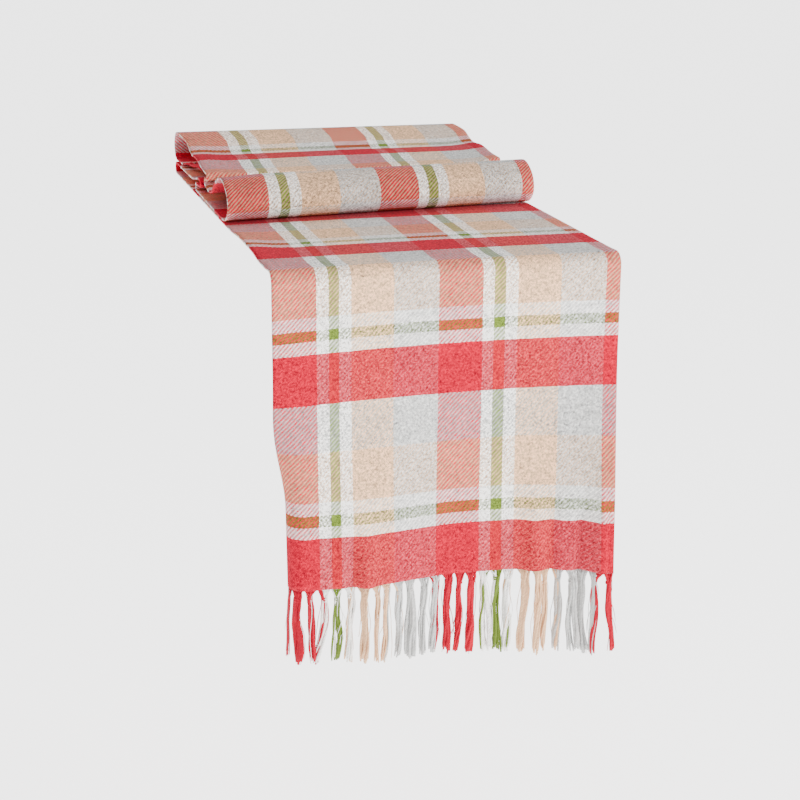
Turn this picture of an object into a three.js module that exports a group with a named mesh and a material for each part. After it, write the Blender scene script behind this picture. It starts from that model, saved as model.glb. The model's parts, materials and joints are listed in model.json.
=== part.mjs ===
// A woven plaid table runner lying on a table, its front end hanging over the edge and its back folded in an S.
// Millimetres, +Z up, +X across the runner, +Y back over the table.
// The origin is on the table top, on the runner's middle line, edgeInset behind the table's front edge.
import * as THREE from 'three';

// the cloth
const clothWidth = 355;
const clothThickness = 2;

// how it lies
const edgeInset = 25; // from the origin forward to the table's front edge
const edgeRadius = 11; // inside radius of the bend over that edge
const hangHeight = 311; // from the table top down to the front hem
const bottomRun = 578; // from the origin back to the lower back fold
const lieAngle = 4; // degrees that the part on the table leans toward +X
const loopRadius = 6; // lower back fold, to the middle of the cloth

// the folded part
const rollFront = 220; // how far back the front roll's face stands
const rollHeight = 47;
const rollSlant = 40; // how much farther back the roll's right end lies than its left
const saddleHeight = 35; // the top layer's low place behind the roll
const backHeight = 50; // top of the upper back fold
const upperBackReach = 6; // how far the upper back fold stands out behind the lower one
const innerRun = 43.5; // the far end's last stretch, tucked forward inside the fold
const innerRise = 0.03; // slope of that stretch
const innerRoom = 3; // height that the tucked far end keeps above the middle layer
const pleatSetback = 175; // from the roll's face back to the hidden pleat in the middle layer
const pleatDepth = 29;
const tuckSetback = 134; // from the roll's face back to the tuck taken in the top layer behind the roll
const tuckDepth = 19;
const tuckRadius = 3.5;
const tuckHeight = 33;
const pleatRadius = 4;
const pleatLift = 2; // room left under the pleat

// the drop
const dropFlare = 36; // how far the hem's right end stands out more than its left
const dropLean = 6; // how far the hem's left end stands out from the table
const hemNarrowing = 24; // how much narrower the drop is at its hem

// the fringe
const tasselCount = 27; // at each end
const tasselLength = 76;
const knotRadius = 3.4;
const neckRadius = 1.9;
const skirtRadius = 4.2;
const rearTasselLift = 3.5; // the rear fringe rises a little so that it clears the layer below it

const gap = 0.35; // between pieces that touch
const pathStep = 7; // length of one facet along the cloth
const clothColumns = 6;
const tasselSides = 8;

const half = clothThickness / 2;
const shearPerMm = Math.tan(THREE.MathUtils.degToRad(lieAngle));
const dropMiddle = -edgeInset - half; // y of the drop's middle surface
const bendCentre = new THREE.Vector2(-edgeInset + edgeRadius, -edgeRadius);
const loopCentre = new THREE.Vector2(bottomRun - loopRadius, half + loopRadius);

const clothMaterial = (color) => new THREE.MeshStandardMaterial({ color, roughness: 0.9, metalness: 0 });
const redCloth = 0xa5242b;
const beigeCloth = 0xcbb39a;

// A point of the cloth from its place across (u, from the middle) and in the side view (y, z).
function place(u, y, z, slant = 0) {
  const depth = (bottomRun - y) / (bottomRun - rollFront);
  const slanted = y + slant * (u / clothWidth) * depth;
  return new THREE.Vector3(u + shearPerMm * Math.max(slanted, 0), slanted, z);
}

// A point of the drop, 0 at the bend's lower end and 1 at the hem. It narrows and flares toward the hem.
function placeDrop(u, down, y, z) {
  const eased = down * down * (3 - 2 * down);
  const across = u / clothWidth;
  const flare = dropLean + dropFlare * (across + 0.5);
  return new THREE.Vector3(u * (1 - (hemNarrowing / clothWidth) * eased), y - flare * eased, z);
}

function arc(centre, radius, fromDegrees, toDegrees) {
  const steps = Math.max(3, Math.round(Math.abs(toDegrees - fromDegrees) / 22));
  const points = [];
  for (let i = 0; i <= steps; i += 1) {
    const angle = THREE.MathUtils.degToRad(fromDegrees + ((toDegrees - fromDegrees) * i) / steps);
    points.push(new THREE.Vector2(centre.x + radius * Math.cos(angle), centre.y + radius * Math.sin(angle)));
  }
  return points;
}

function line(from, to, step = pathStep) {
  const steps = Math.max(1, Math.ceil(from.distanceTo(to) / step));
  return Array.from({ length: steps + 1 }, (_, i) => from.clone().lerp(to, i / steps));
}

function spline(points, step = pathStep) {
  const curve = new THREE.SplineCurve(points);
  return curve.getSpacedPoints(Math.ceil(curve.getLength() / step));
}

function joined(...stretches) {
  const path = [];
  for (const point of stretches.flat()) {
    if (path.length === 0 || path[path.length - 1].distanceTo(point) > 0.05) path.push(point);
  }
  return path;
}

// The direction of a path at one of its points. At an end it follows the curve of the last three points,
// so that the sheet's end is cut square.
function direction(path, i) {
  const last = path.length - 1;
  if (i > 0 && i < last) return path[i + 1].clone().sub(path[i - 1]).normalize();
  const inward = i === 0 ? 1 : -1;
  const next = path[i + inward];
  const afterNext = path[i + 2 * inward] ?? next.clone().multiplyScalar(2).sub(path[i]);
  const slope = next.clone().multiplyScalar(4).sub(afterNext).addScaledVector(path[i], -3);
  return slope.multiplyScalar(inward).normalize();
}

// Turns a middle line and a way to place its points into one closed sheet of even thickness.
function clothSheet(path, placePoint, columns = clothColumns) {
  const rows = path.map((point, i) => {
    const along = direction(path, i);
    const normal = new THREE.Vector2(-along.y, along.x).multiplyScalar(half);
    return [point.clone().add(normal), point.clone().sub(normal)];
  });
  const positions = [];
  const last = path.length - 1;
  for (let side = 0; side < 2; side += 1) {
    for (let i = 0; i <= last; i += 1) {
      for (let c = 0; c <= columns; c += 1) {
        const u = clothWidth * (c / columns - 0.5);
        const corner = rows[i][side];
        positions.push(...placePoint(u, i / last, corner.x, corner.y).toArray());
      }
    }
  }
  const at = (side, i, c) => (side * path.length + i) * (columns + 1) + c;
  const index = [];
  const quad = (a, b, c, d) => index.push(a, b, c, a, c, d);
  for (let i = 0; i < last; i += 1) {
    for (let c = 0; c < columns; c += 1) {
      quad(at(0, i, c), at(0, i, c + 1), at(0, i + 1, c + 1), at(0, i + 1, c));
      quad(at(1, i, c), at(1, i + 1, c), at(1, i + 1, c + 1), at(1, i, c + 1));
    }
    quad(at(0, i, 0), at(0, i + 1, 0), at(1, i + 1, 0), at(1, i, 0));
    quad(at(0, i, columns), at(1, i, columns), at(1, i + 1, columns), at(0, i + 1, columns));
  }
  for (let c = 0; c < columns; c += 1) {
    quad(at(0, 0, c), at(1, 0, c), at(1, 0, c + 1), at(0, 0, c + 1));
    quad(at(0, last, c), at(0, last, c + 1), at(1, last, c + 1), at(1, last, c));
  }
  const geometry = new THREE.BufferGeometry();
  geometry.setAttribute('position', new THREE.Float32BufferAttribute(positions, 3));
  geometry.setIndex(index);
  geometry.computeVertexNormals();
  return geometry;
}

// The bottom layer: over the table's edge, back along the table and up the lower half of the back fold.
function bottomPath() {
  return joined(
    arc(bendCentre, edgeRadius + half, 180, 90),
    line(new THREE.Vector2(bendCentre.x, half), new THREE.Vector2(loopCentre.x, half), 24),
    arc(loopCentre, loopRadius, -90, 0),
  );
}

// The drop: from just under the bend straight down to the hem.
function dropPath() {
  const start = new THREE.Vector2(dropMiddle, -edgeRadius - gap);
  return line(start, new THREE.Vector2(dropMiddle, -hangHeight), 26);
}

// The folded part: up out of the back fold, forward through a hidden pleat, round the front roll,
// back as the top layer and down the upper back fold, to the far end tucked inside.
function foldedPart() {
  const point = (y, z) => new THREE.Vector2(y, z);
  const backFace = bottomRun + upperBackReach;
  const span = backFace - rollFront;
  const contact = clothThickness + half;
  const top = loopCentre.y + loopRadius;
  const innerLevel = top + clothThickness + innerRoom;
  const pleatFront = rollFront + pleatSetback;
  const pleatLow = clothThickness + half + pleatLift;
  const frontTurn = point(pleatFront + pleatRadius, pleatLow + 3 * pleatRadius);
  const backTurn = point(pleatFront + pleatDepth, pleatLow + pleatRadius);
  const pleatTop = frontTurn.y + pleatRadius;
  const tuckFront = point(rollFront + tuckSetback + tuckRadius, tuckHeight - tuckRadius);
  const tuckBack = point(rollFront + tuckSetback + tuckDepth - tuckRadius, tuckHeight - 3 * tuckRadius);
  const seamAngle = THREE.MathUtils.radToDeg(gap / loopRadius);
  return joined(
    arc(loopCentre, loopRadius, seamAngle, 90),
    spline([
      point(loopCentre.x, top),
      point(THREE.MathUtils.lerp(loopCentre.x, frontTurn.x, 0.5), top + 0.6),
      point(THREE.MathUtils.lerp(loopCentre.x, frontTurn.x, 0.73), top + 1.8),
      point(THREE.MathUtils.lerp(loopCentre.x, frontTurn.x, 0.93), pleatTop - 0.4),
      point(frontTurn.x, pleatTop),
    ], 14),
    arc(frontTurn, pleatRadius, 90, 270),
    line(point(frontTurn.x, pleatTop - 2 * pleatRadius), point(backTurn.x, backTurn.y + pleatRadius), 14),
    arc(backTurn, pleatRadius, 90, -90),
    spline([
      point(backTurn.x, pleatLow),
      point(pleatFront - 40, pleatLow - 0.6),
      point(rollFront + 45, contact + 1),
      point(rollFront + 20, contact + 2.2),
      point(rollFront + 5, rollHeight * 0.27),
      point(rollFront, rollHeight * 0.5),
      point(rollFront + 9, rollHeight * 0.8),
      point(rollFront + 34, rollHeight),
      point(rollFront + 60, rollHeight * 0.92),
      point(rollFront + 84, rollHeight * 0.65),
      point(rollFront + 101, rollHeight * 0.42),
      point(rollFront + 121, tuckBack.y - tuckRadius - 2),
      point(tuckBack.x, tuckBack.y - tuckRadius),
    ]),
    arc(tuckBack, tuckRadius, -90, 90),
    line(point(tuckBack.x, tuckBack.y + tuckRadius), point(tuckFront.x, tuckFront.y - tuckRadius), 6),
    arc(tuckFront, tuckRadius, 270, 90),
    spline([
      point(tuckFront.x, tuckFront.y + tuckRadius),
      point(rollFront + 0.48 * span, saddleHeight - 1.5),
      point(rollFront + 0.61 * span, saddleHeight + 1.5),
      point(rollFront + 0.735 * span, saddleHeight),
      point(backFace - 55, backHeight * 0.88),
      point(backFace - 22, backHeight),
      point(backFace - 6, backHeight * 0.9),
      point(backFace, backHeight * 0.66),
      point(backFace - 5, innerLevel + 4),
      point(backFace - 18, innerLevel),
    ]),
    line(point(backFace - 18, innerLevel), point(backFace - 18 - innerRun, innerLevel + innerRun * innerRise)),
  );
}

// A tassel hanging down from its knot's top at the origin: the knot, its neck and a skirt of loose yarn.
function tasselGeometry() {
  const knotEnd = knotRadius * 1.7;
  const profile = [
    [0, 0],
    [knotRadius * 0.72, -knotRadius * 0.28],
    [knotRadius, -knotRadius],
    [neckRadius, -knotEnd],
    [neckRadius * 1.45, -tasselLength * 0.35],
    [skirtRadius, -tasselLength * 0.94],
    [skirtRadius * 0.7, -tasselLength],
    [0, -tasselLength],
  ].reverse().map(([r, z]) => new THREE.Vector2(r, z));
  const geometry = new THREE.LatheGeometry(profile, tasselSides);
  geometry.rotateX(Math.PI / 2);
  return geometry;
}

function piece(name, geometry, color) {
  const mesh = new THREE.Mesh(geometry, clothMaterial(color));
  mesh.name = name;
  return mesh;
}

// Colours across the width, from the left edge: the warp that each tassel is made of.
const warpStripes = [
  { width: 45, color: redCloth },
  { width: 12, color: 0xe8e2d8 },
  { width: 11, color: 0x2f6b43 },
  { width: 12, color: 0xe8e2d8 },
  { width: 44, color: beigeCloth },
  { width: 46, color: 0xc9c5c2 },
];

function warpColor(fromLeft) {
  const repeat = warpStripes.reduce((sum, stripe) => sum + stripe.width, 0);
  let left = fromLeft % repeat;
  for (const stripe of warpStripes) {
    if (left < stripe.width) return stripe.color;
    left -= stripe.width;
  }
  return redCloth;
}

const group = new THREE.Group();

const bottomLayer = clothSheet(bottomPath(), (u, along, y, z) => place(u, y, z));
group.add(piece('cloth_bottom_layer', bottomLayer, beigeCloth));

const folded = foldedPart();
const clothFolded = clothSheet(folded, (u, along, y, z) => place(u, y, z, rollSlant));
group.add(piece('cloth_folded_part', clothFolded, redCloth));

const drop = clothSheet(dropPath(), placeDrop);
group.add(piece('cloth_drop', drop, redCloth));

const farEnd = folded[folded.length - 1];
const beforeFarEnd = folded[folded.length - 2];
const farRise = Math.atan2(farEnd.y - beforeFarEnd.y, beforeFarEnd.x - farEnd.x);
const tasselPitch = clothWidth / tasselCount;
for (let i = 0; i < tasselCount; i += 1) {
  const u = tasselPitch * (i + 0.5) - clothWidth / 2;
  const label = String(i + 1).padStart(2, '0');
  const color = warpColor(u + clothWidth / 2);

  const front = piece(`front_tassel_${label}`, tasselGeometry(), color);
  front.position.copy(placeDrop(u, 1, dropMiddle, -hangHeight - gap));
  group.add(front);

  const rear = piece(`rear_tassel_${label}`, tasselGeometry(), color);
  const rearY = farEnd.x - gap;
  rear.position.copy(place(u, rearY, farEnd.y + rearTasselLift * 0.3, rollSlant));
  rear.rotation.x = -Math.PI / 2 - farRise - Math.atan2(rearTasselLift, tasselLength);
  group.add(rear);
}

export default group;
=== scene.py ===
import bpy
import json
import math
import numpy as np
from mathutils import Matrix, Vector

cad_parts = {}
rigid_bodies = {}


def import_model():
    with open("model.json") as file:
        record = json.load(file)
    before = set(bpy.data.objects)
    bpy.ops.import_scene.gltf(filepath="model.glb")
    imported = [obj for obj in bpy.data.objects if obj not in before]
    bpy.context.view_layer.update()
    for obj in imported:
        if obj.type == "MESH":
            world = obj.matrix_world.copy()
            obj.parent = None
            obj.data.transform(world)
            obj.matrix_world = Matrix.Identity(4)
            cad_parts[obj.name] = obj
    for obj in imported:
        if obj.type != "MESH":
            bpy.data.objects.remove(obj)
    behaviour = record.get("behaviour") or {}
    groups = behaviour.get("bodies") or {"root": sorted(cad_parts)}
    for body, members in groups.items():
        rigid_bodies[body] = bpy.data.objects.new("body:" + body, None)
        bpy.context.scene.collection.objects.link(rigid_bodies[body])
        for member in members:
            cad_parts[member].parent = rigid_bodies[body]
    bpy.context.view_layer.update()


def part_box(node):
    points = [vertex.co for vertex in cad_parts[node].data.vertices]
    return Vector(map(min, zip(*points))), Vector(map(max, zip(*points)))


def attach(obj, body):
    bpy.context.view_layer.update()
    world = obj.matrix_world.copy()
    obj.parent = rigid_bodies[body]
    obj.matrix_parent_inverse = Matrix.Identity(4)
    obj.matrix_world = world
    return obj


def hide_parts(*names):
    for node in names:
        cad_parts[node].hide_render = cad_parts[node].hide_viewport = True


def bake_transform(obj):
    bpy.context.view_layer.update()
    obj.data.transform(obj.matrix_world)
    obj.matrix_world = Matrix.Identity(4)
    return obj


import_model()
print("frame loaded")


# ---- the camera stands low on the left and looks back over the table

camera = {
    "place": (-0.6142, -1.6736, 0.3624),
    "turnedRight": 18.9,    # degrees from straight back over the table
    "tippedDown": 15.82,
    "roll": 0.83,
    "lens": 84.6,
}


def placeCamera():
    turn = math.radians(camera["turnedRight"])
    tip = math.radians(camera["tippedDown"])
    roll = math.radians(camera["roll"])
    ahead = Vector((math.sin(turn) * math.cos(tip), math.cos(turn) * math.cos(tip), -math.sin(tip)))
    level = Vector((math.cos(turn), -math.sin(turn), 0))
    upright = level.cross(ahead)
    right = math.cos(roll) * level + math.sin(roll) * upright
    top = -math.sin(roll) * level + math.cos(roll) * upright
    turned = Matrix((right, top, -ahead)).transposed().to_4x4()
    data = bpy.data.cameras.new("camera")
    data.lens = camera["lens"]
    data.clip_end = 50
    seen = bpy.data.objects.new("camera", data)
    seen.matrix_world = Matrix.Translation(camera["place"]) @ turned
    bpy.context.scene.collection.objects.link(seen)
    bpy.context.scene.camera = seen


placeCamera()


# ---- how the cloth lies: the middle line of its side view, in metres from the CAD nodes' boxes

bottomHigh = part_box("cloth_bottom_layer")[1]
foldLow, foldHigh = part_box("cloth_folded_part")
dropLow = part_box("cloth_drop")[0]

cloth = {
    "width": 0.355,
    "thickness": 0.002,
    "edgeInset": 0.025,          # from the origin forward to the table's front edge
    "edgeRadius": 0.011,
    "leanDegrees": 4,            # the part on the table leans toward +X
    "loopRadius": 0.006,
    "rollSlant": 0.040,
    "rollHeight": 0.047,
    "saddleHeight": 0.035,
    "backHeight": 0.050,
    "pleatSetback": 0.175,
    "pleatDepth": 0.029,
    "pleatRadius": 0.004,
    "pleatLift": 0.002,
    "tuckSetback": 0.134,        # the top layer is tucked back behind the roll
    "tuckDepth": 0.019,
    "tuckRadius": 0.0035,
    "tuckHeight": 0.033,
    "innerRoom": 0.003,
    "innerRun": 0.0435,
    "innerRise": 0.03,
    "dropLean": 0.010,
    "warpDraw": 0.005,           # the warp is drawn toward the left in the middle of the drop
    "warpReturn": 0.027,         # and toward the right farther back, by this much in each metre
    "rowStep": 0.0032,           # spacing of the mesh along the cloth and across it
    "columnStep": 0.0032,
    "rowTurn": 14,               # most degrees that one row may bend
}
half = cloth["thickness"] / 2
hang = -dropLow.z
backFold = bottomHigh.y - half
backFace = foldHigh.y - half
rollFace = foldLow.y + half + cloth["rollSlant"] / 2
dropMiddle = -cloth["edgeInset"] - half
bendCentre = (-cloth["edgeInset"] + cloth["edgeRadius"], -cloth["edgeRadius"])
loopCentre = (backFold - cloth["loopRadius"], half + cloth["loopRadius"])
lean = math.tan(math.radians(cloth["leanDegrees"]))


def arc(centre, radius, start, end):
    angles = np.radians(np.linspace(start, end, max(8, int(abs(end - start) / 4))))
    return np.stack([centre[0] + radius * np.cos(angles), centre[1] + radius * np.sin(angles)], 1)


def line(a, b):
    steps = max(2, int(math.dist(a, b) / 0.001))
    return np.linspace(a, b, steps)


def smoothLine(points):
    pts = np.array(points)
    pts = np.vstack([pts[0], pts, pts[-1]])
    t = np.linspace(0, 1, 24, endpoint=False)[:, None]
    parts = []
    for a, b, c, d in zip(pts, pts[1:], pts[2:], pts[3:]):
        slopeB, slopeC = (c - a) / 2, (d - b) / 2
        parts.append((2 * b - 2 * c + slopeB + slopeC) * t ** 3
                     + (-3 * b + 3 * c - 2 * slopeB - slopeC) * t ** 2 + slopeB * t + b)
    return np.vstack(parts + [pts[-1:]])


def sideView():
    radius = cloth["edgeRadius"] + half
    contact = cloth["thickness"] + half
    span = backFace - rollFace
    top = loopCentre[1] + cloth["loopRadius"]
    inner = top + cloth["thickness"] + cloth["innerRoom"]
    pr = cloth["pleatRadius"]
    pleatFront = rollFace + cloth["pleatSetback"]
    pleatLow = contact + cloth["pleatLift"]
    frontTurn = (pleatFront + pr, pleatLow + 3 * pr)
    backTurn = (pleatFront + cloth["pleatDepth"], pleatLow + pr)
    rollHigh, saddle, backHigh = cloth["rollHeight"], cloth["saddleHeight"], cloth["backHeight"]
    tr = cloth["tuckRadius"]
    tuckFront = (rollFace + cloth["tuckSetback"] + tr, cloth["tuckHeight"] - tr)
    tuckBack = (rollFace + cloth["tuckSetback"] + cloth["tuckDepth"] - tr, cloth["tuckHeight"] - 3 * tr)
    farStart = (backFace - 0.018, inner)
    stretches = [
        line((dropMiddle, -hang), (dropMiddle, bendCentre[1])),
        arc(bendCentre, radius, 180, 90),
        line((bendCentre[0], half), (loopCentre[0], half)),
        arc(loopCentre, cloth["loopRadius"], -90, 90),
        smoothLine([
            (loopCentre[0], top),
            (loopCentre[0] + 0.5 * (frontTurn[0] - loopCentre[0]), top + 0.0006),
            (loopCentre[0] + 0.73 * (frontTurn[0] - loopCentre[0]), top + 0.0018),
            (loopCentre[0] + 0.93 * (frontTurn[0] - loopCentre[0]), frontTurn[1] + pr - 0.0004),
            (frontTurn[0], frontTurn[1] + pr),
        ]),
        arc(frontTurn, pr, 90, 270),
        line((frontTurn[0], frontTurn[1] - pr), (backTurn[0], backTurn[1] + pr)),
        arc(backTurn, pr, 90, -90),
        smoothLine([
            (backTurn[0], pleatLow),
            (pleatFront - 0.040, pleatLow - 0.0006),
            (rollFace + 0.045, contact + 0.001),
            (rollFace + 0.020, contact + 0.0022),
            (rollFace + 0.005, rollHigh * 0.27),
            (rollFace, rollHigh * 0.5),
            (rollFace + 0.009, rollHigh * 0.8),
            (rollFace + 0.034, rollHigh),
            (rollFace + 0.060, rollHigh * 0.92),
            (rollFace + 0.084, rollHigh * 0.65),
            (rollFace + 0.101, rollHigh * 0.42),
            (rollFace + 0.121, tuckBack[1] - tr - 0.002),
            (tuckBack[0], tuckBack[1] - tr),
        ]),
        arc(tuckBack, tr, -90, 90),
        line((tuckBack[0], tuckBack[1] + tr), (tuckFront[0], tuckFront[1] - tr)),
        arc(tuckFront, tr, 270, 90),
        smoothLine([
            (tuckFront[0], tuckFront[1] + tr),
            (rollFace + 0.48 * span, saddle - 0.0015),
            (rollFace + 0.61 * span, saddle + 0.0015),
            (rollFace + 0.735 * span, saddle),
            (backFace - 0.055, backHigh * 0.88),
            (backFace - 0.022, backHigh),
            (backFace - 0.006, backHigh * 0.9),
            (backFace, backHigh * 0.66),
            (backFace - 0.005, inner + 0.004),
            farStart,
        ]),
        line(farStart, (farStart[0] - cloth["innerRun"], inner + cloth["innerRun"] * cloth["innerRise"])),
    ]
    path = np.vstack(stretches)
    keep = np.r_[True, np.linalg.norm(np.diff(path, axis=0), axis=1) > 1e-6]
    return path[keep]


def rowPlaces(path):
    steps = np.diff(path, axis=0)
    lengths = np.linalg.norm(steps, axis=1)
    along = np.r_[0, np.cumsum(lengths)]
    headings = np.unwrap(np.arctan2(steps[:, 1], steps[:, 0]))
    places = [0.0]
    turned = 0.0
    for i in range(1, len(headings)):
        turned += abs(headings[i] - headings[i - 1])
        if along[i] - places[-1] >= cloth["rowStep"] or turned >= math.radians(cloth["rowTurn"]):
            places.append(along[i])
            turned = 0.0
    places.append(along[-1])
    return along, np.array(places)


side = sideView()
sideAlong, rows = rowPlaces(side)
clothLength = sideAlong[-1]
print("cloth", round(cloth["width"], 4), "x", round(clothLength, 4), "m,", len(rows), "rows")


bendEnd = hang + bendCentre[1] + (cloth["edgeRadius"] + half) * math.pi / 2
foldSeam = bendEnd + (loopCentre[0] - 0.008 - bendCentre[0])
pastFold = side[:, 0] < backFold - 0.1
crestAt = sideAlong[np.argmax(np.where(pastFold, side[:, 1], 0))]
farEndAt = sideAlong[-1] - cloth["innerRun"] - 0.05
topShape = {
    "drift": 0.006,          # the top layer lies a little to the right of the layers under it
    "leftDroop": 0.002,      # the roll is lower at its left end
    "droopWidth": 0.050,
    "leftLift": 0.002,       # edges that stand up a little
    "rightLift": 0.003,
    "firstLift": 0.003,
}


def smoothStep(x):
    x = np.clip(x, 0, 1)
    return x * x * (3 - 2 * x)


def bump(x, centre, spread):
    return np.exp(-((x - centre) / spread) ** 2)


# what hanging and handling do to the drop
dropShape = {
    "hemExtra": 0.0025,      # stretch below the CAD hem
    "flareFrom": 0.68,       # share of the width, from the left, where the flare starts
    "flare": 0.041,          # the right side swings toward the front
    "rightDraw": 0.017,
    "edgeLength": 0.031,     # the left edge curls back
    "edgeCurl": 112,
    "leftDraw": 0.003,
    "bow": 0.0035,           # the weft runs higher in the middle
    # soft upright folds: place across, spread, depth toward the front, share of the drop they reach up
    "folds": [
        (0.255, 0.022, 0.0060, 0.26),
        (0.215, 0.016, -0.0034, 0.22),
        (0.26, 0.100, 0.0050, 0.60),
        (0.52, 0.110, -0.0050, 0.62),
        (0.755, 0.026, 0.0072, 0.34),
        (0.815, 0.018, -0.0040, 0.36),
        (0.905, 0.020, -0.0070, 0.40),
        (0.962, 0.014, 0.0058, 0.45),
    ],
}


def dropPoints(u, v, y, z):
    across = u / cloth["width"]
    hangLength = hang + bendCentre[1]
    low = np.clip((hangLength - v) / hangLength, 0, 1)
    swung = smoothStep((low - 0.28) / 0.5)
    flared = np.clip((across - dropShape["flareFrom"]) / (1 - dropShape["flareFrom"]), 0, 1)
    flared = flared ** 1.25 * swung
    x = u - cloth["width"] / 2 - dropShape["rightDraw"] * flared
    y = y - dropShape["flare"] * flared - cloth["dropLean"] * low ** 2
    for place, spread, depth, reach in dropShape["folds"]:
        y = y - depth * bump(across, place, spread) * smoothStep((low - 1 + reach) / reach * 1.2)
    angle = np.radians(dropShape["edgeCurl"]) * smoothStep((low - 0.28) / 0.48) + 1e-4
    radius = dropShape["edgeLength"] / angle
    past = np.clip(dropShape["edgeLength"] - u, 0, None)
    curled = past - radius * np.sin(past / radius)
    x = x + curled + dropShape["leftDraw"] * low * np.clip(1 - across * 3, 0, 1)
    y = y + radius * (1 - np.cos(past / radius))
    z = z - dropShape["hemExtra"] * smoothStep((low - 0.84) / 0.16)
    return x, y, z


# u: metres from the left edge, v: metres from the front hem, both as grids.
def clothPoints(u, v):
    y = np.interp(v, sideAlong, side[:, 0])
    z = np.interp(v, sideAlong, side[:, 1])
    across = u / cloth["width"]
    onTable = v > bendEnd
    xDrop, yDrop, zDrop = dropPoints(u, v, y, z)

    # on the table
    folded = smoothStep((v - (bendEnd + backFold - bendCentre[0] + 0.002)) / 0.03)
    depth = (backFold - y) / (backFold - rollFace)
    yTable = y + cloth["rollSlant"] * (across - 0.5) * depth * folded
    xTable = u - cloth["width"] / 2 + lean * np.maximum(yTable, 0)
    onTop = smoothStep((v - crestAt) / 0.12) * smoothStep((farEndAt - v) / 0.05)
    xTable = xTable + topShape["drift"] * onTop * smoothStep((y - 0.30) / 0.25)
    nearLeft = 1 - smoothStep(u / topShape["droopWidth"])
    roll = smoothStep((v - crestAt + 0.075) / 0.05) * (1 - smoothStep((v - crestAt - 0.02) / 0.04))
    zTable = z - topShape["leftDroop"] * nearLeft * roll * np.clip(z / cloth["rollHeight"], 0, 1)
    zTable = zTable + topShape["leftLift"] * bump(u, 0.010, 0.018) * onTop
    zTable = zTable + topShape["rightLift"] * bump(u, cloth["width"], 0.020) * onTop
    first = smoothStep((yTable - 0.02) / 0.05) * smoothStep((0.20 - yTable) / 0.08) * (v < foldSeam)
    zTable = zTable + topShape["firstLift"] * bump(u, 0.0, 0.024) * first
    x = np.where(onTable, xTable, xDrop)
    y = np.where(onTable, yTable, yDrop)
    return x, y, np.where(onTable, zTable, zDrop)


# where each point lies in the woven pattern.
def patternPlaces(u, v):
    across = u / cloth["width"]
    bowed = dropShape["bow"] * (1 - (2 * across - 1) ** 2) * smoothStep((v - 0.06) / 0.12)
    back = np.maximum(np.interp(v, sideAlong, side[:, 0]), 0)
    drawn = cloth["warpDraw"] - cloth["warpReturn"] * back
    return u + drawn * np.sin(math.pi * across), v - bowed


# one stretch of the cloth as a closed sheet. Its UV map holds metres across and along the cloth.
def clothMesh(name, vStart, vEnd):
    inside = rows[(rows > vStart + 0.0008) & (rows < vEnd - 0.0008)]
    vs = np.r_[vStart, inside, vEnd]
    us = np.linspace(0, cloth["width"], int(cloth["width"] / cloth["columnStep"]) + 1)
    rowCount, columnCount = len(vs), len(us)
    grid = np.meshgrid(us, vs)
    middle = np.stack(clothPoints(*grid), -1)
    nudge = 0.0004
    right = np.stack(clothPoints(grid[0] + nudge, grid[1]), -1)
    left = np.stack(clothPoints(grid[0] - nudge, grid[1]), -1)
    ahead = np.stack(clothPoints(grid[0], grid[1] + nudge), -1)
    behind = np.stack(clothPoints(grid[0], grid[1] - nudge), -1)
    alongU, alongV = right - left, ahead - behind
    normal = np.cross(alongU, alongV)
    normal /= np.linalg.norm(normal, axis=-1, keepdims=True)
    upper = (middle + normal * half).reshape(-1, 3)
    lower = (middle - normal * half).reshape(-1, 3)
    verts = np.vstack([upper, lower])
    i = np.arange(rowCount - 1)[:, None] * columnCount
    j = np.arange(columnCount - 1)[None, :]
    a = (i + j).ravel()
    n = rowCount * columnCount
    faces = [np.stack([a, a + 1, a + columnCount + 1, a + columnCount], 1)]
    faces.append(np.stack([a, a + columnCount, a + columnCount + 1, a + 1], 1) + n)
    r = np.arange(rowCount - 1) * columnCount
    last = r + columnCount - 1
    faces.append(np.stack([r, r + columnCount, r + columnCount + n, r + n], 1))
    faces.append(np.stack([last, last + n, last + columnCount + n, last + columnCount], 1))
    c = np.arange(columnCount - 1)
    end = (rowCount - 1) * columnCount
    faces.append(np.stack([c, c + n, c + 1 + n, c + 1], 1))
    faces.append(np.stack([c + end, c + 1 + end, c + 1 + end + n, c + end + n], 1))
    faces = np.vstack(faces)
    mesh = bpy.data.meshes.new(name)
    mesh.from_pydata(verts.tolist(), [], faces.tolist())
    uv = np.tile(np.stack(patternPlaces(*grid), -1).reshape(-1, 2), (2, 1))
    layer = mesh.uv_layers.new(name="weave")
    loopVerts = np.zeros(len(mesh.loops), int)
    mesh.loops.foreach_get("vertex_index", loopVerts)
    layer.data.foreach_set("uv", uv[loopVerts].ravel())
    mesh.polygons.foreach_set("use_smooth", [True] * len(mesh.polygons))
    piece = bpy.data.objects.new(name, mesh)
    bpy.context.scene.collection.objects.link(piece)
    return piece


# ---- shader helpers

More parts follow.
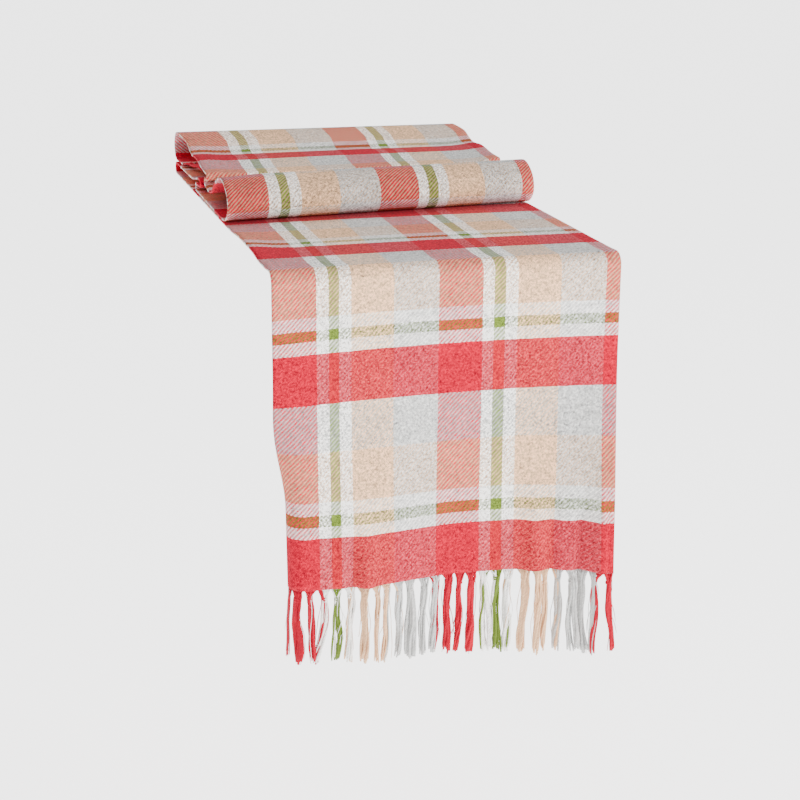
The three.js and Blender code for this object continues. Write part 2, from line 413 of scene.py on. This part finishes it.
# a socket that takes + - * / and % and adds the Math nodes for them.
class Wire:

    def __init__(self, tree, socket):
        self.tree, self.socket = tree, socket

    def math(self, operation, *others):
        node = self.tree.nodes.new("ShaderNodeMath")
        node.operation = operation
        for slot, value in enumerate((self,) + others):
            if isinstance(value, Wire):
                self.tree.links.new(value.socket, node.inputs[slot])
            else:
                node.inputs[slot].default_value = value
        return Wire(self.tree, node.outputs[0])

    def __add__(self, other):
        return self.math("ADD", other)

    def __radd__(self, other):
        return self.math("ADD", other)

    def __sub__(self, other):
        return self.math("SUBTRACT", other)

    def __rsub__(self, other):
        return self.math("MULTIPLY", -1.0).math("ADD", other)

    def __mul__(self, other):
        return self.math("MULTIPLY", other)

    def __rmul__(self, other):
        return self.math("MULTIPLY", other)

    def __truediv__(self, other):
        return self.math("DIVIDE", other)

    def __mod__(self, other):
        return self.math("FLOORED_MODULO", other)

    def __lt__(self, other):
        return self.math("LESS_THAN", other)

    def __gt__(self, other):
        return self.math("GREATER_THAN", other)


class Shader:
    def __init__(self, name):
        self.material = bpy.data.materials.new(name)
        self.material.use_nodes = True
        self.tree = self.material.node_tree
        self.surface = self.tree.nodes["Principled BSDF"]

    def node(self, kind, settings=None, inputs=None, output=0):
        node = self.tree.nodes.new(kind)
        for key, value in (settings or {}).items():
            if key == "stops":
                self.setStops(node.color_ramp, value)
            else:
                setattr(node, key, value)
        for key, value in (inputs or {}).items():
            if isinstance(value, Wire):
                self.tree.links.new(value.socket, node.inputs[key])
            else:
                node.inputs[key].default_value = value
        return Wire(self.tree, node.outputs[output])

    def setStops(self, ramp, stops):
        ramp.interpolation = "CONSTANT" if len(stops) > 3 else "LINEAR"
        while len(ramp.elements) > 1:
            ramp.elements.remove(ramp.elements[-1])
        ramp.elements[0].position, ramp.elements[0].color = stops[0]
        for position, color in stops[1:]:
            ramp.elements.new(position).color = color

    def mix(self, factor, a, b, blend="MIX"):
        return self.node("ShaderNodeMix", {"data_type": "RGBA", "blend_type": blend},
                         {0: factor, 6: a, 7: b}, output=2)

    def feed(self, socket, wire):
        self.tree.links.new(wire.socket, self.surface.inputs[socket])

    def finish(self, **constants):
        for key, value in constants.items():
            self.surface.inputs[key.replace("_", " ")].default_value = value
        return self.material


# ---- the plaid twill

plaid = {
    "threadPitch": 0.00115,
    "red": (0.47, 0.0028, 0.023),
    "white": (0.92, 0.89, 0.85),
    "green": (0.13, 0.19, 0.028),
    "beige": (0.74, 0.455, 0.265),
    "grey": (0.52, 0.515, 0.50),
    "across": [("red", 45), ("white", 12), ("green", 11), ("white", 12), ("beige", 44), ("grey", 46)],
    "along": [("red", 49), ("white", 12.5), ("green", 10.5), ("white", 12.5), ("beige", 49), ("grey", 47.5)],
    "weftShare": 0.42,       # how much of the face the brushed weft takes
    "redWeftShare": 0.94,
    "twillContrast": 0.42,   # 1 would show every float with a hard edge
    "rollStretch": 0.20,     # the warp shows more where the cloth is stretched over the roll
    "stretchAndShadeReach": 0.075,
    "drift": 0.0010,         # how far the threads wander
}


def stripeStops(stripes):
    total = sum(width for name, width in stripes)
    stops, at = [], 0
    for name, width in stripes:
        stops.append((at / total, (*plaid[name], 1)))
        at += width
    return stops, total / 1000


def twillMaterial():
    shader = Shader("plaidTwill")
    uv = shader.node("ShaderNodeUVMap", {"uv_map": "weave"})
    wander = shader.node("ShaderNodeTexNoise", {}, {"Vector": uv, "Scale": 75.0, "Detail": 1.0}, output=1)
    size = plaid["drift"]
    moved = shader.node("ShaderNodeVectorMath", {"operation": "MULTIPLY_ADD"},
                        {0: wander, 1: (size, size, 0), 2: (-size / 2, -size / 2, 0)})
    moved = shader.node("ShaderNodeVectorMath", {"operation": "ADD"}, {0: moved, 1: uv})
    u = shader.node("ShaderNodeSeparateXYZ", {}, {0: moved})
    v = Wire(shader.tree, u.socket.node.outputs[1])
    a, b = u / plaid["threadPitch"], v / plaid["threadPitch"]
    end, pick = a.math("FLOOR"), b.math("FLOOR")       # which warp end and which weft pick
    inEnd, inPick = a - end, b - pick
    step = (end - pick) % 4
    warpUp = step < 1.9
    warpStops, warpRepeat = stripeStops(plaid["across"])
    weftStops, weftRepeat = stripeStops(plaid["along"])
    warpPhase = ((end + 0.5) * (plaid["threadPitch"] / warpRepeat)) % 1.0
    weftPhase = ((pick + 0.5) * (plaid["threadPitch"] / weftRepeat)) % 1.0
    warpColor = shader.node("ShaderNodeValToRGB", {"stops": warpStops}, {0: warpPhase})
    weftColor = shader.node("ShaderNodeValToRGB", {"stops": weftStops}, {0: weftPhase})

    # how high each float stands; the tone below darkens the low gaps between the floats as painted shade
    warpLong = (step + 1 - inPick) / 2
    weftLong = (step - 2 + inEnd) / 2
    warpHigh = (inEnd * math.pi).math("SINE") * (warpLong * math.pi).math("SINE")
    weftHigh = (inPick * math.pi).math("SINE") * (weftLong * math.pi).math("SINE")
    high = weftHigh + (warpHigh - weftHigh) * warpUp

    fuzz = shader.node("ShaderNodeTexNoise", {},
                       {"Vector": uv, "Scale": 430.0, "Detail": 4.0, "Roughness": 0.65})
    nap = shader.node("ShaderNodeTexNoise", {}, {"Vector": uv, "Scale": 190.0, "Detail": 2.0})
    wear = shader.node("ShaderNodeTexNoise", {}, {"Vector": uv, "Scale": 24.0, "Detail": 2.0})
    crossing = shader.node("ShaderNodeCombineXYZ", {}, {0: end, 1: pick})
    speck = shader.node("ShaderNodeTexWhiteNoise", {"noise_dimensions": "2D"}, {"Vector": crossing})

    redWeft = weftPhase < plaid["along"][0][1] / 1000 / weftRepeat
    share = redWeft * (plaid["redWeftShare"] - plaid["weftShare"]) + plaid["weftShare"]
    rollMiddle = crestAt - 0.035
    # a band over the roll: there the warp shows more, where the cloth is stretched, and the colour is
    # darkened as painted shade
    rollStretchAndShade = 1 - ((v - rollMiddle) / plaid["stretchAndShadeReach"]).math("ABSOLUTE").math("MINIMUM", 1.0)
    share = share - rollStretchAndShade.math("MINIMUM", 0.6) * (plaid["rollStretch"] / 0.6)
    swing = (warpUp - 0.5) * plaid["twillContrast"] + (fuzz - 0.5) * 1.5 + (speck - 0.5) * 0.30
    warpShown = ((1 - share) * (1 + 1.9 * swing)).math("MINIMUM", 1.0).math("MAXIMUM", 0.0)
    woven = shader.mix(warpShown, weftColor, warpColor)

    # the tone's last term darkens the colour over the roll: painted shade on the roll
    tone = high * 0.42 + fuzz * 2.5 + nap * 1.0 + wear * 0.35 + speck * 0.56 - 1.35 - rollStretchAndShade * 0.16
    tone = tone.math("MAXIMUM", 0.06)
    grey = shader.node("ShaderNodeCombineColor", {}, {0: tone, 1: tone, 2: tone})
    toned = shader.mix(1.0, woven, grey, "MULTIPLY")
    shader.feed("Base Color", toned)

    relief = high * 0.7 + fuzz * 0.7 + nap * 0.5
    bumped = shader.node("ShaderNodeBump", {}, {"Strength": 0.6, "Distance": 0.0006, "Height": relief})
    shader.feed("Normal", bumped)
    return shader.finish(Roughness=0.95, Sheen_Weight=0.04, Sheen_Roughness=0.5, Specular_IOR_Level=0.05)


def yarnMaterial():
    shader = Shader("looseYarn")
    uv = shader.node("ShaderNodeUVMap", {"uv_map": "weave"})
    split = shader.node("ShaderNodeSeparateXYZ", {}, {0: uv})
    u = split
    v = Wire(shader.tree, split.socket.node.outputs[1])
    warpStops, warpRepeat = stripeStops(plaid["across"])
    phase = (u / warpRepeat) % 1.0
    color = shader.node("ShaderNodeValToRGB", {"stops": warpStops}, {0: phase})
    around = shader.node("ShaderNodeUVMap", {"uv_map": "twist"})
    turned = shader.node("ShaderNodeSeparateXYZ", {}, {0: around})
    spun = ((turned + v * 150.0) * (4 * math.pi)).math("SINE")
    along = shader.node("ShaderNodeCombineXYZ", {}, {0: turned * 9.0 + v * 700.0, 1: v * 90.0, 2: u * 900.0})
    fibre = shader.node("ShaderNodeTexNoise", {},
                        {"Vector": along, "Scale": 1.0, "Detail": 3.0, "Roughness": 0.6})
    ownYarn = shader.node("ShaderNodeCombineXYZ", {}, {0: turned.math("ROUND"), 1: u * 5000.0})
    yarnTone = shader.node("ShaderNodeTexWhiteNoise", {"noise_dimensions": "2D"}, {"Vector": ownYarn})
    # the spun term darkens the grooves of the twist a little: painted shade
    tone = yarnTone * 0.24 + spun * 0.05 + fibre * 1.3 + 0.22
    grey = shader.node("ShaderNodeCombineColor", {}, {0: tone, 1: tone, 2: tone})
    shader.feed("Base Color", shader.mix(1.0, color, grey, "MULTIPLY"))
    bumped = shader.node("ShaderNodeBump", {},
                         {"Strength": 0.7, "Distance": 0.0004, "Height": spun * 0.25 + fibre * 1.3})
    shader.feed("Normal", bumped)
    return shader.finish(Roughness=0.92, Sheen_Weight=0.05, Sheen_Roughness=0.5, Specular_IOR_Level=0.06)


twill = twillMaterial()
yarn = yarnMaterial()


# ---- the two stretches of cloth

lowerCloth = clothMesh("cloth_lower_part", 0, foldSeam)
upperCloth = clothMesh("cloth_folded_part_woven", foldSeam, clothLength)
for piece in (lowerCloth, upperCloth):
    piece.data.materials.append(twill)
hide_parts("cloth_bottom_layer", "cloth_drop")
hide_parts("cloth_folded_part")
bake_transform(lowerCloth)
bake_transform(upperCloth)
print("cloth made")


# ---- the fringe

fringe = {
    "count": 27,
    "length": 0.073,
    "rightExtra": 0.0145,    # the front tassels are longer toward the right
    "blend": 0.0035,         # each tassel takes some of its neighbours' colours
    "yarns": 9,              # thick soft yarns in each front tassel
    "strays": 4,             # thin ends that stand off it
    "rearYarns": 5,
    "stay": 0.001,           # the yarns' tops stay with the hem, and bend below it
    "bendLength": 0.016,
    "yarnRadius": 0.00122,
    "strayRadius": 0.00032,
    "rings": 14,
    "sides": 7,
    "gather": 0.0085,        # how far below the hem the yarns are drawn together
    "knotRadius": 0.0019,
    "bodyRadius": 0.0027,
    "wander": 0.0016,        # places along the hem vary by this much
    # tassels that lean to one side at their ends, in metres
    "leaning": {1: -0.008, 3: 0.004, 4: -0.007, 15: -0.003, 17: 0.005, 24: 0.005, 25: 0.005, 27: 0.009},
    "split": (2, 5, 11, 17, 24),
}


# one straight yarn of length 1 and radius 1, from 0 down to -1.
def yarnTemplate():
    bpy.ops.object.select_all(action="DESELECT")
    bpy.ops.mesh.primitive_circle_add(vertices=fringe["sides"], radius=1, fill_type="NGON",
                                      location=(0, 0, 0))
    straight = bpy.context.object
    bpy.ops.object.mode_set(mode="EDIT")
    bpy.ops.mesh.select_all(action="SELECT")
    for ring in range(fringe["rings"]):
        bpy.ops.mesh.extrude_region_move(TRANSFORM_OT_translate={"value": (0, 0, -1 / fringe["rings"])})
    bpy.ops.mesh.select_all(action="SELECT")
    bpy.ops.mesh.normals_make_consistent(inside=False)
    bpy.ops.object.mode_set(mode="OBJECT")
    verts = np.array([corner.co for corner in straight.data.vertices])
    faces = [list(face.vertices) for face in straight.data.polygons]
    bpy.data.objects.remove(straight)
    return verts, faces


# two turns of yarn round a tassel's neck, radius 1.
def knotTemplate():
    bpy.ops.object.select_all(action="DESELECT")
    for tilt in (14, -12):
        bpy.ops.mesh.primitive_torus_add(major_segments=14, minor_segments=6,
                                         major_radius=1, minor_radius=0.42,
                                         location=(0, 0, 0.3 if tilt > 0 else -0.3),
                                         rotation=(math.radians(tilt), math.radians(tilt * 0.7), 0))
        bpy.ops.object.transform_apply(location=True, rotation=True, scale=True)
    for o in bpy.context.scene.objects:
        o.select_set(o.name.startswith("Torus"))
    bpy.ops.object.join()
    wound = bpy.context.object
    verts = np.array([corner.co for corner in wound.data.vertices])
    faces = [list(face.vertices) for face in wound.data.polygons]
    bpy.data.objects.remove(wound)
    return verts, faces


yarnVerts, yarnFaces = yarnTemplate()
knotVerts, knotFaces = knotTemplate()


# hemPoint(u): a place on the hem. down: the way that the yarns hang.
def tasselMesh(name, number, hemPoint, down, outward, yarns, strays, rng):
    pitch = cloth["width"] / fringe["count"]
    middleU = pitch * (number + 0.5) + rng.uniform(-1, 1) * fringe["wander"]
    middleU = min(max(middleU, pitch * 0.5), cloth["width"] - pitch * 0.5)
    centre = hemPoint(middleU)
    sideways = hemPoint(middleU + 0.004) - hemPoint(middleU - 0.004)
    sideways = sideways / np.linalg.norm(sideways)
    length = fringe["length"] * rng.uniform(0.95, 1.03)
    hangs = down[2] < -0.7
    if hangs:
        length += fringe["rightExtra"] * math.sin(middleU / cloth["width"] * math.pi / 2)
    gather = fringe["gather"] * rng.uniform(0.8, 1.3)
    phase, swing = rng.uniform(0, 2 * math.pi), rng.uniform(-1, 1)
    fat = rng.uniform(0.85, 1.2)
    turns = rng.uniform(1.2, 4.0)
    lean = rng.normal(0, 0.0012)
    if hangs:
        lean = fringe["leaning"].get(number + 1, lean)
    split = 0.0026 if hangs and number + 1 in fringe["split"] else 0.0004
    verts, faces, places, turned = [], [], [], []
    t = -yarnVerts[:, 2]
    drawn = smoothStep(t * length / gather)
    pinch = (1 - 0.30 * bump(t, 0.13, 0.06) - 0.16 * bump(t, 0.5 + 0.12 * swing, 0.09)
             + 0.10 * np.sin(7 * t + phase) + 0.22 * t ** 5)
    for k in range(yarns + strays):
        stray = k >= yarns
        share = (k + 0.5) / yarns if not stray else rng.uniform(0, 1)
        u = middleU + (share - 0.5) * pitch * 0.92
        angle = 2.4 * k + phase
        start = hemPoint(u) - centre
        ring = math.sqrt((k + 0.3) / yarns) if not stray else rng.uniform(0.9, 1.35)
        ownPhase = rng.uniform(0, 6.28)
        ownEnd = rng.uniform(0.95, 1.03) if not stray else rng.uniform(0.6, 1.06)
        drift = rng.normal(0, 0.0004 if not stray else 0.0015, 2)
        radius = fringe["bodyRadius"] * fat * pinch * ring
        curve = lean * t ** 1.6 + 0.0016 * swing * np.sin(2.9 * t + 0.3) + 0.0009 * np.sin(7.5 * t + phase)
        parted = split * (1 if math.cos(angle) > 0 else -1) * smoothStep((t - 0.25) / 0.4)
        alongHem = (np.cos(angle + turns * t) * radius * 1.1 + 0.0004 * np.sin(11 * t + ownPhase)
                    + curve + parted + drift[0] * t)
        outFromHem = (np.sin(angle + turns * t) * radius * 0.85 + 0.0004 * np.cos(9 * t + ownPhase)
                      + drift[1] * t)
        path = (centre[None] + ((1 - drawn) + 0.18 * drawn * (1 - t))[:, None] * start[None]
                + (drawn * alongHem)[:, None] * sideways[None]
                + (drawn * outFromHem)[:, None] * outward[None]
                + (t * length * ownEnd)[:, None] * down[None])
        thick = fringe["strayRadius"] if stray else fringe["yarnRadius"] * rng.uniform(0.8, 1.2) * fat
        thick = thick * (1 + 0.14 * np.sin(16 * t + ownPhase))
        thick = thick * (1 - 0.35 * bump(t, 1, 0.05)) * (0.8 + 0.2 * drawn)
        points = (path + (yarnVerts[:, 0] * thick)[:, None] * sideways[None]
                  + (yarnVerts[:, 1] * thick)[:, None] * outward[None])
        base = sum(len(block) for block in verts)
        verts.append(points)
        faces += [[corner + base for corner in face] for face in yarnFaces]
        patternU = patternPlaces(np.array([u]), np.array([0.0]))[0][0]
        patternU = min(max(patternU + rng.normal(0, fringe["blend"]), 0.001), cloth["width"] - 0.001)
        places.append(np.stack([np.full(len(t), patternU), -t * length], 1))
        turned.append(np.stack([np.arctan2(yarnVerts[:, 1], yarnVerts[:, 0]) / (2 * math.pi) + k, t], 1))
    base = sum(len(block) for block in verts)
    size = fringe["knotRadius"] * fat
    knotAt = centre + down * gather * 1.1 + sideways * 0.0016 * swing * math.sin(0.6)
    points = (knotAt[None] + knotVerts[:, :1] * size * 1.1 * sideways[None]
              + knotVerts[:, 1:2] * size * 0.95 * outward[None]
              - knotVerts[:, 2:3] * size * down[None])
    verts.append(points)
    faces += [[corner + base for corner in face] for face in knotFaces]
    patternU = patternPlaces(np.array([middleU]), np.array([0.0]))[0][0]
    places.append(np.stack([np.full(len(points), patternU), knotVerts[:, 2] * size], 1))
    turned.append(np.stack([np.arctan2(knotVerts[:, 1], knotVerts[:, 0]) / (2 * math.pi),
                            knotVerts[:, 2]], 1))
    mesh = bpy.data.meshes.new(name)
    mesh.from_pydata(np.vstack(verts).tolist(), [], faces)
    loopVerts = np.zeros(len(mesh.loops), int)
    mesh.loops.foreach_get("vertex_index", loopVerts)
    for layerName, values in (("weave", np.vstack(places)), ("twist", np.vstack(turned))):
        mesh.uv_layers.new(name=layerName).data.foreach_set("uv", values[loopVerts].ravel())
    mesh.polygons.foreach_set("use_smooth", [True] * len(mesh.polygons))
    tassel = bpy.data.objects.new(name, mesh)
    bpy.context.scene.collection.objects.link(tassel)
    tassel.data.materials.append(yarn)
    return tassel


def frontHem(u):
    return np.array(clothPoints(np.array([u]), np.array([0.0004]))).ravel()


def rearHem(u):
    return np.array(clothPoints(np.array([u]), np.array([clothLength - 0.0004]))).ravel()


def stripeAt(u):
    total = sum(width for name, width in plaid["across"]) / 1000
    left = u % total
    for name, width in plaid["across"]:
        if left < width / 1000:
            return name
        left -= width / 1000
    return "red"


farDown = np.array([0.0, -1.0, 0.075])
farDown /= np.linalg.norm(farDown)
rng = np.random.default_rng(7)
for number in range(fringe["count"]):
    label = f"{number + 1:02d}"
    slotName = stripeAt(cloth["width"] / fringe["count"] * (number + 0.5)) + "_yarn"
    front = tasselMesh(f"front_tassel_yarns_{label}", number, frontHem, np.array([0, 0, -1.0]),
                       np.array([0, -1.0, 0]), fringe["yarns"], fringe["strays"], rng)
    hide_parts(f"front_tassel_{label}")
    top = frontHem(cloth["width"] / fringe["count"] * (number + 0.5))
    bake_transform(front)
    rear = tasselMesh(f"rear_tassel_yarns_{label}", number, rearHem, farDown,
                      np.array([0, farDown[2], -farDown[1]]), fringe["rearYarns"], 0, rng)
    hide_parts(f"rear_tassel_{label}")
    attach(rear, "folded")
print("fringe made")

clothLength - foldSeam


# ---- studio

studio = {
    "floorHeight": -0.75,
    "floorGlow": 2.7,        # the floor is lit from below like a studio table
    "air": 0.75,
    "key": {"place": (1.8, -2.0, 0.9), "aim": (0, 0, -0.15), "size": 0.8, "power": 104},
    "top": {"place": (-0.6, 0.3, 2.2), "aim": (0, 0.25, 0), "size": 2.4, "power": 19},
}


def softLight(name, place, aim, size, power):
    data = bpy.data.lights.new(name, "AREA")
    data.size, data.energy = size, power
    lamp = bpy.data.objects.new(name, data)
    lamp.location = place
    lamp.rotation_euler = (Vector(aim) - Vector(place)).to_track_quat("-Z", "Y").to_euler()
    bpy.context.scene.collection.objects.link(lamp)


def makeStudio():
    for name in ("key", "top"):
        softLight(name + "Light", **studio[name])
    bpy.ops.object.select_all(action="DESELECT")
    bpy.ops.mesh.primitive_plane_add(size=40, location=(0, 0, studio["floorHeight"]))
    floor = bpy.context.object
    floor.name = "floor"
    bpy.ops.object.transform_apply(location=True, rotation=True, scale=True)
    pale = Shader("paleFloor")
    floor.data.materials.append(pale.finish(Base_Color=(0.9, 0.9, 0.9, 1), Roughness=0.9,
                                           Emission_Color=(1, 1, 1, 1),
                                           Emission_Strength=studio["floorGlow"]))
    world = bpy.data.worlds.new("studioAir")
    world.use_nodes = True
    air = world.node_tree.nodes["Background"]
    air.inputs["Color"].default_value = (1, 1, 1, 1)
    air.inputs["Strength"].default_value = studio["air"]
    bpy.context.scene.world = world


makeStudio()
print("studio made")
